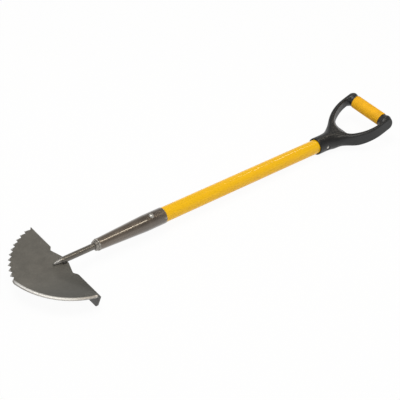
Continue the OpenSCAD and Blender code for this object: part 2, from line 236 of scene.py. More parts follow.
class EdgerColours(bpy.types.PropertyGroup):
    """Base colours of the finishes."""

    steel: colour_prop("Blade steel", "Lacquered sheet of the blade", (0.134, 0.126, 0.109))
    ground: colour_prop("Ground steel", "Bare ground steel of the edge and the point", (0.45, 0.436, 0.41))
    rod: colour_prop("Neck rod", "Forged steel of the neck rod", (0.135, 0.121, 0.102))
    weld: colour_prop("Weld", "Weld metal", (0.29, 0.272, 0.245))
    lacquer: colour_prop("Socket lacquer", "Glossy lacquer of the socket", (0.098, 0.077, 0.058))
    rivet: colour_prop("Rivet", "Plated rivets", (0.50, 0.485, 0.45))
    shaft: colour_prop("Shaft", "Yellow fibreglass of the shaft", (0.89, 0.505, 0.005))
    handle: colour_prop("Handle", "Dark moulded plastic of the handle", (0.0100, 0.0100, 0.0095))
    grip: colour_prop("Grip", "Yellow of the grip sleeve", (0.91, 0.468, 0.011))
    wood: colour_prop("Plug wood", "Turned wood of the plugs inside the tube", (0.55, 0.38, 0.20))


class StageValues(bpy.types.PropertyGroup):
    """Floor, camera and light."""

    lens: FloatProperty(
        name="Lens", description="Focal length of the camera in millimetres on a 36 mm frame",
        default=98.773, min=10)
    floor_radius: length_prop("Floor", "Radius of the pale floor", 9000)
    floor_gap: length_prop("Floor gap", "Room between the floor and the lowest point", 0.3)
    key_power: FloatProperty(
        name="Key light", description="Power of the large soft light in watts", default=33.0, min=0)
    strip_power: FloatProperty(
        name="Strip light", description="Power of each small light that draws a line along the shaft, in watts",
        default=3.3, min=0)
    horizon: FloatProperty(
        name="Horizon", description="Strength of the room's light at the horizon", default=1.2, min=0)
    zenith: FloatProperty(
        name="Zenith", description="Strength of the room's light overhead", default=0.3, min=0)


class Nodes:
    """A node tree, and short calls that add nodes to it."""

    def __init__(self, tree):
        self.tree = tree

    def feed(self, node, **inputs):
        """Links or sets the inputs of a node, each by its name with _ for a space or by its number after
        an i. A list goes to one input that takes several links."""
        for name, value in inputs.items():
            numbered = name[0] == "i" and name[1:].isdigit()
            socket = node.inputs[int(name[1:]) if numbered else name.replace("_", " ")]
            for one in value if isinstance(value, list) else [value]:
                if isinstance(one, bpy.types.NodeSocket):
                    self.tree.links.new(one, socket)
                else:
                    socket.default_value = one

    def add(self, kind, settings=None, **inputs):
        """Adds a node with its settings and inputs, and gives its outputs."""
        node = self.tree.nodes.new(kind)
        for key, value in (settings or {}).items():
            setattr(node, key, value)
        self.feed(node, **inputs)
        return node.outputs

    def maths(self, operation, first, second):
        return self.add("ShaderNodeMath", {"operation": operation}, i0=first, i1=second)[0]


class Finish(Nodes):
    """A node material with one Principled shader, and short calls that add its texture nodes."""

    def __init__(self, name, **sockets):
        self.material = bpy.data.materials.new(name)
        self.material.use_nodes = True
        super().__init__(self.material.node_tree)
        self.shader = self.tree.nodes["Principled BSDF"]
        self.feed(self.shader, **sockets)
        self.place = self.add("ShaderNodeTexCoord")["Object"]
        self.along = self.mapped(self.place, turn=(0, -LEAN_OF_SHAFT, 0))

    def mapped(self, vector, scale=(1, 1, 1), turn=(0, 0, 0)):
        return self.add("ShaderNodeMapping", Vector=vector, Scale=scale, Rotation=turn)["Vector"]

    def noise(self, scale, detail, roughness=0.55, stretch=1.0):
        """Cloudy noise, drawn out along the shaft where stretch is less than 1."""
        vector = self.mapped(self.along, scale=(stretch, 1, 1))
        return self.add("ShaderNodeTexNoise", Vector=vector, Scale=scale, Detail=detail, Roughness=roughness)["Fac"]

    def cells(self, scale):
        return self.add("ShaderNodeTexVoronoi", Vector=self.along, Scale=scale)["Distance"]

    def part(self, axis):
        """One of the object's own coordinates."""
        return self.add("ShaderNodeSeparateXYZ", Vector=self.place)[axis]

    def attribute(self, name):
        return self.add("ShaderNodeAttribute", {"attribute_name": name})["Fac"]

    def spread(self, value, low, high, to_low=0.0, to_high=1.0):
        """A value moved from one range to another, and held there."""
        return self.add("ShaderNodeMapRange", {"interpolation_type": "SMOOTHSTEP"}, Value=value, From_Min=low,
                        From_Max=high, To_Min=to_low, To_Max=to_high)["Result"]

    def tint(self, factor, first, second):
        """The first colour, turned to the second by a factor."""
        first, second = (c if isinstance(c, bpy.types.NodeSocket) else (*c, 1.0) for c in (first, second))
        return self.add("ShaderNodeMix", {"data_type": "RGBA"}, i0=factor, i6=first, i7=second)[2]

    def bump(self, height, distance, strength, **under):
        return self.add("ShaderNodeBump", Height=height, Distance=distance, Strength=strength, **under)["Normal"]

    def wear(self, **inputs):
        """Feeds the shader's own sockets and gives the material back."""
        self.feed(self.shader, **inputs)
        return self.material


def shade(colour, factor):
    return tuple(min(1.0, c * factor) for c in colour)


def towards(colour, other, share):
    return tuple(a + (b - a) * share for a, b in zip(colour, other))


def blade_finish(colours):
    """Dark lacquered sheet that turns to bare ground steel where the attribute ground of a face corner says
    so, with grinding lines across the edge and a duller outer rim."""
    steel, ground = tuple(colours.steel), tuple(colours.ground)
    f = Finish("blade_steel", Specular_IOR_Level=0.45, Coat_Weight=0.15, Coat_Roughness=0.28)
    cut, cut_range, across = f.attribute("ground"), (0.35, 0.65), f.part("Y")
    mottle = f.noise(34, detail=5, roughness=0.62)
    speck = f.noise(520, detail=3, roughness=0.65)
    rolled = f.noise(260, detail=3, stretch=0.12)
    sheet = f.tint(f.spread(mottle, 0.3, 0.72), shade(steel, 0.84), shade(steel, 1.14))
    sheet = f.tint(f.spread(rolled, 0.34, 0.7, 0.0, 0.3), sheet, shade(steel, 0.82))
    sheet = f.tint(f.spread(speck, 0.5, 0.75, 0.0, 0.5), sheet, shade(steel, 1.6))
    # Painted shade: the sheet is made darker and cooler towards the plain side of the blade, at negative y.
    side_shade = f.spread(across, 15 * MM, -100 * MM, 0.0, 0.95)
    sheet = f.tint(side_shade, sheet, towards(shade(steel, 0.52), SIDE_SHADE_STEEL, 0.5))
    # Painted shade: the folded treads, low down, are made darker.
    tread_shade = f.spread(f.part("Z"), 36 * MM, 26 * MM, 0.0, 0.85)
    sheet = f.tint(tread_shade, sheet, shade(steel, 0.36))
    lines = f.add("ShaderNodeTexNoise", {"noise_dimensions": "1D"}, W=f.attribute("grind"), Scale=1.0, Detail=3.0,
                  Roughness=0.7)["Fac"]
    bright = f.tint(f.spread(lines, 0.3, 0.7), shade(ground, 0.86), shade(ground, 1.08))
    # Painted highlight: the ground edge is made whiter between 75 mm and 10 mm on the plain side of the middle.
    bright = f.tint(f.spread(across, -75 * MM, -10 * MM, 0.0, 0.85), bright, HIGHLIGHT_STEEL)
    # The ground edge turns tan towards the fold end of the plain side.
    bright = f.tint(f.spread(across, -92 * MM, -118 * MM, 0.0, 0.65), bright, TAN_EDGE_STEEL)
    bright = f.tint(f.spread(f.attribute("rim"), 0.40, 0.26), bright, shade(ground, 0.62))
    height = f.maths("ADD", f.maths("MULTIPLY", rolled, 0.6), speck)
    return f.wear(
        Base_Color=f.tint(f.spread(cut, *cut_range), sheet, bright),
        Metallic=f.spread(cut, *cut_range, 0.3, 0.4),
        Roughness=f.spread(cut, *cut_range, 0.46, 0.4),
        Normal=f.bump(lines, 0.05 * MM, 0.35, Normal=f.bump(height, 0.12 * MM, 0.3)))


def rod_finish(colours):
    """Forged rod with drawn streaks, ground bright towards its point."""
    rod, ground = tuple(colours.rod), tuple(colours.ground)
    tip, bare_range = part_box("neck_rod")[0][0], (0.35, 0.8)
    f = Finish("neck_steel", Coat_Weight=0.4, Coat_Roughness=0.18)
    streak = f.noise(420, detail=4, stretch=0.05)
    scale = f.noise(160, detail=5, roughness=0.65)
    skin = f.tint(f.spread(streak, 0.3, 0.7), shade(rod, 0.72), shade(rod, 1.3))
    skin = f.tint(f.spread(scale, 0.42, 0.7, 0.0, 0.5), skin, shade(rod, 0.62))
    point = f.maths("ADD", f.spread(f.part("X"), tip + 26 * MM, tip + 4 * MM), f.spread(scale, 0.2, 0.8, -0.25, 0.25))
    return f.wear(
        Base_Color=f.tint(f.spread(point, *bare_range), skin, shade(ground, 0.6)),
        Metallic=f.spread(point, *bare_range, 0.45, 0.65),
        Roughness=f.maths("ADD", f.spread(scale, 0.3, 0.7, 0.24, 0.38), f.spread(point, *bare_range, 0.0, 0.14)),
        Normal=f.bump(f.maths("ADD", streak, scale), 0.12 * MM, 0.2))


def weld_finish(name, colour, roughness, metallic):
    """Weld metal: random lighter and darker patches with a heat tint, and patches of duller, bumpy scale."""
    f = Finish(name, Metallic=metallic)
    heat = f.noise(190, detail=3)
    scale = f.noise(700, detail=4, roughness=0.7)
    skin = f.tint(f.spread(heat, 0.32, 0.68), shade(colour, 0.7), shade(colour, 1.25))
    skin = f.tint(f.spread(heat, 0.55, 0.75, 0.0, 0.4), skin, HEAT_TINT)
    return f.wear(
        Base_Color=skin, Roughness=f.spread(scale, 0.3, 0.72, roughness * 0.7, min(1.0, roughness * 1.6)),
        Normal=f.bump(scale, 0.1 * MM, 0.06))


def socket_finish(colours):
    """Glossy brown grey lacquer over drawn steel, with faint streaks, a paler low end and a chipped mouth."""
    tone = tuple(colours.lacquer)
    low, high = (corner[0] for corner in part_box("socket"))
    f = Finish("socket_lacquer", Metallic=0.5, Coat_Weight=1.0, Coat_Roughness=0.06, Coat_IOR=1.54)
    streak = f.noise(150, detail=4, stretch=0.06)
    cloud = f.noise(38, detail=4)
    skin = f.tint(f.spread(cloud, 0.3, 0.7), shade(tone, 0.82), shade(tone, 1.16))
    skin = f.tint(f.spread(streak, 0.4, 0.72, 0.0, 0.5), skin, shade(tone, 1.4))
    heat = f.spread(f.part("X"), high - 30 * MM, low + 10 * MM, 0.0, 0.55)
    skin = f.tint(heat, skin, shade(tone, 1.75))
    mouth = f.spread(f.part("X"), high - 9 * MM, high - 1 * MM)
    chip = f.spread(f.noise(230, detail=3, roughness=0.6), 0.52, 0.62)
    skin = f.tint(f.maths("MULTIPLY", mouth, chip), skin, CHIPPED_STEEL)
    peel = f.noise(300, detail=1)
    return f.wear(
        Base_Color=skin, Roughness=f.spread(cloud, 0.3, 0.7, 0.3, 0.4),
        Normal=f.bump(f.maths("ADD", peel, streak), 0.05 * MM, 0.15))


def rivet_finish(colours):
    """Plated rivet with fine pitting and a few darker scuffs."""
    tone = tuple(colours.rivet)
    f = Finish("rivet_steel", Metallic=0.75)
    scuff = f.noise(500, detail=4, roughness=0.7)
    skin = f.tint(f.spread(scuff, 0.45, 0.75), tone, shade(tone, 0.62))
    return f.wear(
        Base_Color=skin, Roughness=f.spread(scuff, 0.3, 0.7, 0.2, 0.42), Normal=f.bump(scuff, 0.1 * MM, 0.3))


def shaft_finish(colours):
    """Satin yellow fibreglass: long fibre streaks under a clear skin."""
    tone = tuple(colours.shaft)
    pale = tuple(min(1.0, c * 1.03 + 0.003) for c in tone)
    f = Finish("shaft_yellow", Specular_IOR_Level=0.1, Coat_Weight=0.32, Coat_Roughness=0.12)
    fibre = f.noise(210, detail=2, roughness=0.5, stretch=0.02)
    cloud = f.noise(14, detail=3)
    skin = f.tint(f.spread(fibre, 0.3, 0.7), shade(tone, 0.95), pale)
    skin = f.tint(f.spread(cloud, 0.35, 0.7, 0.0, 0.35), skin, towards(tone, ORANGE_FIBRE, 0.6))
    return f.wear(
        Base_Color=skin, Roughness=f.spread(fibre, 0.3, 0.7, 0.28, 0.4), Normal=f.bump(fibre, 0.06 * MM, 0.15))


def handle_finish(colours):
    """Moulded plastic with a fine spark grain and cloudy sheen, with painted shade darkening the collar and painted
    light making the arms of the D paler and bluer.
    """
    tone = tuple(colours.handle)
    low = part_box("handle_frame")[0][0]
    f = Finish("handle_black", Specular_IOR_Level=0.5)
    grain = f.cells(900)
    cloud = f.noise(26, detail=4)
    rub = f.noise(70, detail=5, roughness=0.65)
    skin = f.tint(f.spread(cloud, 0.3, 0.7), shade(tone, 0.8), shade(tone, 1.22))
    skin = f.tint(f.spread(rub, 0.55, 0.8, 0.0, 0.4), skin, shade(tone, 1.9))
    # Painted shade and light: the collar is made darker and the arms paler and bluer, by place along the handle.
    applied = f.spread(f.part("X"), low + 35 * MM, low + 110 * MM)
    skin = f.tint(applied, shade(tone, 0.3), f.tint(0.6, skin, ARM_LIGHT_PLASTIC))
    return f.wear(
        Base_Color=skin, Roughness=f.spread(rub, 0.3, 0.75, 0.37, 0.48), Normal=f.bump(grain, 0.1 * MM, 0.06))


def grip_finish(colours):
    """Matte yellow sleeve with a fine pebbled skin."""
    tone = tuple(colours.grip)
    f = Finish("grip_yellow", Specular_IOR_Level=0.2)
    pebble = f.cells(650)
    cloud = f.noise(40, detail=4)
    skin = f.tint(f.spread(cloud, 0.32, 0.7), shade(tone, 0.9), shade(tone, 1.05))
    skin = f.tint(f.spread(pebble, 0.0, 0.35, 0.16, 0.0), skin, shade(tone, 0.82))
    return f.wear(
        Base_Color=skin, Roughness=f.spread(cloud, 0.3, 0.7, 0.52, 0.66), Normal=f.bump(pebble, 0.12 * MM, 0.15))


def wood_finish(colours):
    """Turned hardwood with grain along the shaft."""
    tone = tuple(colours.wood)
    f = Finish("plug_wood")
    grain = f.noise(240, detail=5, roughness=0.6, stretch=0.08)
    skin = f.tint(f.spread(grain, 0.3, 0.7), shade(tone, 0.7), shade(tone, 1.15))
    return f.wear(
        Base_Color=skin, Roughness=f.spread(grain, 0.3, 0.7, 0.5, 0.7), Normal=f.bump(grain, 0.2 * MM, 0.4))


class Tree(Nodes):
    """A Geometry Nodes tree that is built in the script, with named inputs."""

    def __init__(self, name, inputs):
        super().__init__(bpy.data.node_groups.new(name, "GeometryNodeTree"))
        face = self.tree.interface
        for label, kind in inputs:
            face.new_socket(label, in_out="INPUT", socket_type="NodeSocket" + kind)
        face.new_socket("Geometry", in_out="OUTPUT", socket_type="NodeSocketGeometry")
        self.given = self.add("NodeGroupInput")

    def end(self, geometry):
        """Realizes instances, sets the material and closes the tree."""
        real = self.add("GeometryNodeRealizeInstances", Geometry=geometry)[0]
        applied = self.add("GeometryNodeSetMaterial", Geometry=real, Material=self.given["Material"])[0]
        self.add("NodeGroupOutput", Geometry=applied)

    def mesh(self, name, values, path=None):
        """Runs the tree on a path, or on nothing, and gives a plain mesh."""
        holder = put(name + "_maker", path or bpy.data.meshes.new(name + "_path"))
        maker = holder.modifiers.new("make", "NODES")
        maker.node_group = self.tree
        for item in self.tree.interface.items_tree:
            if item.in_out == "INPUT" and item.name in values:
                maker[item.identifier] = values[item.name]
        made = plain_mesh(holder)
        holder.modifiers.remove(maker)
        bpy.data.objects.remove(holder)
        return made


def put(name, data):
    """A new object in the scene."""
    made = bpy.data.objects.new(name, data)
    bpy.context.scene.collection.objects.link(made)
    return made


def plain_mesh(holder):
    """The evaluated mesh of an object, free of its modifiers."""
    graph = bpy.context.evaluated_depsgraph_get()
    graph.update()
    return bpy.data.meshes.new_from_object(holder.evaluated_get(graph))


def with_modifiers(mesh, *steps):
    """A mesh after modifiers, each given as (kind, settings)."""
    holder = put("modifier_holder", mesh)
    for kind, settings in steps:
        modifier = holder.modifiers.new(kind.lower(), kind)
        for key, value in settings.items():
            setattr(modifier, key, value)
    made = plain_mesh(holder)
    bpy.data.objects.remove(holder)
    return made


def set_piece(name, mesh, node):
    """Makes a finished mesh a piece that stands for a CAD node."""
    if not mesh.polygons:
        raise RuntimeError(f"{name} has no faces")
    mesh.name = name
    piece = put(name, mesh)
    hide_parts(node)
    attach(piece, BODY)


def wear_only(mesh, material):
    """Makes a material the only one on a mesh."""
    mesh.materials.clear()
    mesh.materials.append(material)


def dress_node(node, material):
    """Gives a CAD node whose shape is right its own finish."""
    wear_only(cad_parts[node].data, material)


def shade_smooth(mesh):
    mesh.polygons.foreach_set("use_smooth", [True] * len(mesh.polygons))


def joined(mesh):
    """A mesh as a bmesh, with its loose faces joined and turned outwards."""
    made = bmesh.new()
    made.from_mesh(mesh)
    bmesh.ops.remove_doubles(made, verts=made.verts, dist=SAME_POINT)
    bmesh.ops.recalc_face_normals(made, faces=made.faces)
    return made


def store(made, mesh):
    """Writes a bmesh to a mesh, frees it and gives the mesh."""
    made.to_mesh(mesh)
    made.free()
    return mesh


def path_mesh(name, runs):
    """Edges through runs of points that are given in millimetres in the frame of the shaft."""
    points, edges = [], []
    for run in runs:
        first = len(points)
        points += [TOOL @ (Vector(p) * MM) for p in run]
        edges += [(first + i, first + i + 1) for i in range(len(run) - 1)]
    made = bpy.data.meshes.new(name)
    made.from_pydata(points, edges, [])
    return made


def weld_tree():
    """Flattened ripples along a path, round a core that joins them."""
    t = Tree("weld_ripples", [
        ("Geometry", "Geometry"), ("Ripples", "Int"), ("Ripple Radius", "Float"), ("Core Radius", "Float"),
        ("Unevenness", "Float"), ("Seed", "Int"), ("Material", "Material")])
    path = t.add("GeometryNodeMeshToCurve", Mesh=t.given["Geometry"])[0]
    path = t.add("GeometryNodeResampleCurve", Curve=path, Count=t.given["Ripples"])[0]
    ring = t.add("GeometryNodeCurvePrimitiveCircle", {"mode": "RADIUS"}, Resolution=14,
                 Radius=t.given["Core Radius"])[0]
    core = t.add("GeometryNodeCurveToMesh", Curve=path, Profile_Curve=ring, Fill_Caps=True)[0]
    low, high = (t.maths(way, 1.0, t.given["Unevenness"]) for way in ("SUBTRACT", "ADD"))
    size = t.add("FunctionNodeRandomValue", {"data_type": "FLOAT"}, i2=low, i3=high, Seed=t.given["Seed"])[1]
    flat = t.add("ShaderNodeCombineXYZ", X=1.0, Y=1.0, Z=RIPPLE_FLATNESS)[0]
    flat = t.add("ShaderNodeVectorMath", {"operation": "SCALE"}, i0=flat, Scale=size)[0]
    ahead = t.add("GeometryNodeInputTangent")[0]
    turn = t.add("FunctionNodeAlignRotationToVector", {"axis": "Z"}, Vector=ahead)[0]
    scale = t.add("GeometryNodeMeshUVSphere", Segments=14, Rings=9, Radius=t.given["Ripple Radius"])[0]
    row = t.add("GeometryNodeInstanceOnPoints", Points=path, Instance=scale, Rotation=turn, Scale=flat)[0]
    t.end(t.add("GeometryNodeJoinGeometry", Geometry=[core, row])[0])
    return t


def sleeve_tree():
    """A sleeve with rounded lips: a rounded wall section carried round the bar."""
    t = Tree("grip_sleeve", [
        ("Length", "Float"), ("Radius", "Float"), ("Wall", "Float"), ("Lip", "Float"), ("Sides", "Int"),
        ("Material", "Material")])
    middle = t.maths("SUBTRACT", t.given["Radius"], t.maths("MULTIPLY", t.given["Wall"], 0.5))
    wall = t.add("GeometryNodeCurvePrimitiveQuadrilateral", {"mode": "RECTANGLE"}, Width=t.given["Wall"],
                 Height=t.given["Length"])[0]
    wall = t.add("GeometryNodeFilletCurve", {"mode": "POLY"}, Curve=wall, Radius=t.given["Lip"],
                 Count=LIP_STEPS)[0]
    ring = t.add("GeometryNodeCurvePrimitiveCircle", {"mode": "RADIUS"}, Resolution=t.given["Sides"],
                 Radius=middle)[0]
    t.end(t.add("GeometryNodeCurveToMesh", Curve=ring, Profile_Curve=wall)[0])
    return t


def smooth_join(a, b, reach):
    """Union of two distance fields with a fillet."""
    share = np.clip(0.5 + 0.5 * (b - a) / reach, 0.0, 1.0)
    return b + (a - b) * share - reach * share * (1.0 - share)


def smooth_cut(a, b, reach):
    """Distance field a without b, with a small round at the edge of the cut."""
    return -smooth_join(-a, b, reach)


def rounded(first, second, edge):
    """Distance to a section from its distances along two axes, with rounded corners."""
    first, second = first + edge, second + edge
    outside = np.hypot(np.maximum(first, 0.0), np.maximum(second, 0.0))
    return outside + np.minimum(np.maximum(first, second), 0.0) - edge


def over(place, run):
    """How far a place lies along a run, as a share of its length."""
    start, length = run
    return (place - start) / length


def ease(share):
    share = np.clip(share, 0.0, 1.0)
    return share * share * (3.0 - 2.0 * share)


def blend(low, high, share):
    return low + (high - low) * ease(share)


def outside_half(h, u):
    """Half width of the handle at a place along it."""
    outer = h.arm_radius + 0.5 * h.arm_width
    arc_u, arc_v = h.reach - h.arm_straight, h.arm_spread - h.arm_radius
    rise = h.collar_radius + h.flare
    start = arc_u - math.sqrt((outer + h.flare) ** 2 - (rise - arc_v) ** 2)
    meet = start + (arc_u - start) * h.flare / (outer + h.flare)
    bell = rise - np.sqrt(np.maximum(h.flare ** 2 - (u - start) ** 2, 0.0))
    bow = arc_v + np.sqrt(np.maximum(outer ** 2 - (u - arc_u) ** 2, 0.0))
    straight = h.arm_spread + 0.5 * h.arm_width
    return np.select([u < start, u < meet, u < arc_u], [h.collar_radius, bell, bow], straight)


def bent(h, x, z):
    """Places along and above the handle's axis, which turns from the line of the shaft to that of the D."""
    run = x - h.mouth - h.collar_length
    cos, sin = math.cos(h.crank), math.sin(h.crank)
    share = ease(0.5 * (run + h.bend) / h.bend)
    return run + (run * cos + z * sin - run) * share, z + (z * cos - run * sin - z) * share


def bar_end_field(h, u, v, w, away):
    """Distance to the drums at the ends of the bar."""
    far = h.arm_spread + 0.5 * h.arm_width - DRUM_INSET
    near = 0.5 * bpy.context.scene.edger_sizes.grip_length
    radius = np.hypot(u - h.reach, w) - h.end_radius
    return np.maximum(rounded(radius, v - far, h.end_round), near - away)


def handle_field(h, x, y, z):
    """Signed distance to the moulded handle, in metres in the frame of the shaft: a round collar that
    flares and flattens into a bow, with the hand hole cut out of it and the bar put across."""
    u, w = bent(h, x, z)
    away = np.abs(y)
    half = outside_half(h, u)
    front = blend(h.collar_radius, h.front_at_root, over(u, FRONT_FLATTENS))
    back = blend(h.collar_radius, h.back_at_root, over(u, BACK_FLATTENS))
    front = blend(front, h.front_at_grip, over(u, ARM_DEEPENS))
    back = blend(back, h.back_at_grip, over(u, ARM_DEEPENS))
    edge = blend(h.collar_radius, h.arm_edge, over(u, EDGE_TIGHTENS))
    level = w - 0.5 * (front - back)
    v = away + level * math.tan(h.arm_lean) * ease(over(u, ARM_LEANS))
    deep = np.where(u > h.reach, np.hypot(level, u - h.reach), np.abs(level))
    solid = rounded(v - half, deep - 0.5 * (front + back), edge)
    arc_u, arc_v = h.reach - h.hole_straight, h.hole_half - h.hole_radius
    side = np.where(u < arc_u, np.hypot(u - arc_u, away - arc_v) - h.hole_radius, away - h.hole_half)
    sunk = np.clip(h.front_at_root - w, 0.0, h.throat_sunk)
    wall = (u - h.throat - sunk / math.tan(h.throat_slope)) * math.sin(h.throat_slope)
    hole = -smooth_join(-side, wall, THROAT_FILLET)
    solid = smooth_cut(solid, hole, h.hole_round)
    fillet = blend(INNER_FILLET, OUTER_FILLET, over(away, FILLET_FADES))
    solid = smooth_join(solid, bar_end_field(h, u, v, w, away), fillet)
    bar = np.maximum(np.hypot(u - h.reach, w) - h.bar_radius, away - h.arm_spread)
    solid = np.minimum(solid, bar)
    solid = smooth_cut(solid, x - h.mouth, MOUTH_ROUND)
    bore = np.maximum(np.hypot(y, z) - h.bore, x - h.mouth - h.bore_depth)
    solid = smooth_cut(solid, bore, BORE_ROUND)
    pin = np.hypot(x - h.mouth - h.pin_place, z)
    recess = np.maximum(pin - h.pin_recess, h.collar_radius - h.pin_depth - away)
    return smooth_cut(solid, np.minimum(recess, pin - h.pin_hole), PIN_ROUND)


def skin_points(value, low, cell):
    """One point in each grid cell that a field's zero surface crosses, and the number of each cell's point."""
    shape = tuple(n - 1 for n in value.shape)
    corners = list(itertools.product((0, 1), repeat=3))

    def at(offset):
        return value[tuple(slice(o, o + n) for o, n in zip(offset, shape))]

    within = sum((at(c) < 0.0).astype(np.int8) for c in corners)
    live = (within > 0) & (within < len(corners))
    index = np.full(shape, -1, np.int64)
    index[live] = np.arange(live.sum())
    cells = np.argwhere(live)
    total, count = np.zeros((len(cells), 3)), np.zeros(len(cells))
    for start, axis in itertools.product(corners, range(3)):
        if start[axis]:
            continue
        stop = tuple(o + (n == axis) for n, o in enumerate(start))
        a, b = at(start)[live], at(stop)[live]
        cross = (a < 0.0) != (b < 0.0)
        share = np.where(cross, a / np.where(cross, a - b, 1.0), 0.0)
        spot = np.array(start, float) + share[:, None] * (np.arange(3) == axis)
        total += np.where(cross[:, None], spot, 0.0)
        count += cross
    return low + (cells + total / count[:, None]) * cell, index


def skin_faces(value, index):
    """Four sided faces round each grid edge that a field's zero surface crosses."""
    faces = []
    for axis in range(3):
        one, two = (axis + 1) % 3, (axis + 2) % 3
        ahead, behind = [slice(None)] * 3, [slice(None)] * 3
        ahead[axis], behind[axis] = slice(1, None), slice(None, -1)
        a, b = value[tuple(behind)] < 0.0, value[tuple(ahead)] < 0.0
        for leaving in (True, False):
            edges = np.argwhere((a & ~b) if leaving else (~a & b))
            corners = []
            for back_one, back_two in ((1, 1), (0, 1), (0, 0), (1, 0)):
                spot = edges.copy()
                spot[:, one] -= back_one
                spot[:, two] -= back_two
                corners.append(index[tuple(spot.T)])
            faces.append(np.stack(corners if leaving else corners[::-1], axis=1))
    return np.concatenate(faces)


def skin(field, low, high, cell):
    """Points and faces of a field's zero surface between two corners."""
    axes = [np.arange(a - 2 * cell, b + 3 * cell, cell) for a, b in zip(low, high)]
    value = field(*np.meshgrid(*axes, indexing="ij"))
    points, index = skin_points(value, np.array([a[0] for a in axes]), cell)
    return points, skin_faces(value, index)


def settle(field, points, rounds=2):
    """Moves points onto the zero surface of a field."""
    for _ in range(rounds):
        here = field(*points.T)
        slope = np.stack([
            (field(*(points + PROBE * unit).T) - field(*(points - PROBE * unit).T)) / (2 * PROBE)
            for unit in np.eye(3)], axis=1)
        steep = np.maximum((slope ** 2).sum(1), LEAST_SLOPE)
        points = points - slope * np.clip(here / steep, -LONGEST_MOVE, LONGEST_MOVE)[:, None]
    return points


def relaxed(points, faces, share):
    """Points drawn towards the middle of their neighbours."""
    total, count = np.zeros_like(points), np.zeros(len(points))
    for a, b in ((0, 1), (1, 2), (2, 3), (3, 0)):
        for one, two in ((a, b), (b, a)):
            np.add.at(total, faces[:, one], points[faces[:, two]])
            np.add.at(count, faces[:, one], 1.0)
    return points + share * (total / count[:, None] - points)


class EDGER_OT_blade(bpy.types.Operator):
    """Makes the half moon blade: softened sheared edges and a bright ground cutting edge"""

    bl_idname = "edger.blade"
    bl_label = "Blade"

    def execute(self, context):
        sizes = context.scene.edger_sizes
        sheet = joined(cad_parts["blade"].data)
        bmesh.ops.dissolve_limit(
            sheet, angle_limit=math.radians(FLAT_ANGLE), verts=sheet.verts, edges=sheet.edges)
        mesh = with_modifiers(
            store(sheet, bpy.data.meshes.new("blade_sheet")),
            ("BEVEL", {"width": sizes.edge_round, "segments": 2, "limit_method": "ANGLE",
                       "angle_limit": math.radians(SHEARED_ANGLE), "use_clamp_overlap": True}))
        wear_only(mesh, blade_finish(context.scene.edger_colours))
        self.mark_ground(mesh, sizes)
        shade_smooth(mesh)
        mesh.set_sharp_from_angle(angle=math.radians(BLADE_CREASE))
        set_piece("blade_plate", mesh, "blade")
        return {"FINISHED"}

    @staticmethod
    def mark_ground(mesh, sizes):
        """Writes on each face corner how bare its steel is ground, how far round the edge it lies and how far
        in from the rim."""
        home = TOOL.inverted()
        turn = home.to_3x3()
        centre_x = sizes.tread_line + ARC_CENTRE_UP
        marks = {name: np.zeros(len(mesh.loops), np.float32) for name in ("ground", "grind", "rim")}
        for face in mesh.polygons:
            facing = (turn @ face.normal)[2]
            spot = home @ face.center
            centre_y = -ARC_CENTRE_OVER if spot[1] > 0 else ARC_CENTRE_OVER
            depth = sizes.edge_radius - math.hypot(spot[0] - centre_x, spot[1] - centre_y)
            plain = spot[1] < sizes.plain_over
            on_cone = RIM_FACING < facing < SHEET_FACING and depth < sizes.edge_band
            on_rim = abs(facing) <= RIM_FACING and depth < RIM_DEPTH and spot[0] < sizes.tread_line - TREAD_CLEARANCE
            for loop in face.loop_indices:
                point = home @ mesh.vertices[mesh.loops[loop].vertex_index].co
                reach = sizes.edge_radius - math.hypot(point[0] - centre_x, point[1] - centre_y)
                rim = reach / sizes.edge_band
                if plain:
                    dull = BAND_DULLING * rim + TEETH_DULLING * ease(over(point[1], TEETH_START))
                else:
                    dull = reach / (2 * sizes.tip_band)
                marks["ground"][loop] = 1.0 - dull if on_cone or on_rim else 0.0
                marks["rim"][loop] = rim if plain else TOOTH_RIM
                marks["grind"][loop] = GRIND_LINES * math.atan2(point[1] - centre_y, centre_x - point[0])
        for name, values in marks.items():
            mesh.attributes.new(name, "FLOAT", "CORNER").data.foreach_set("value", values)


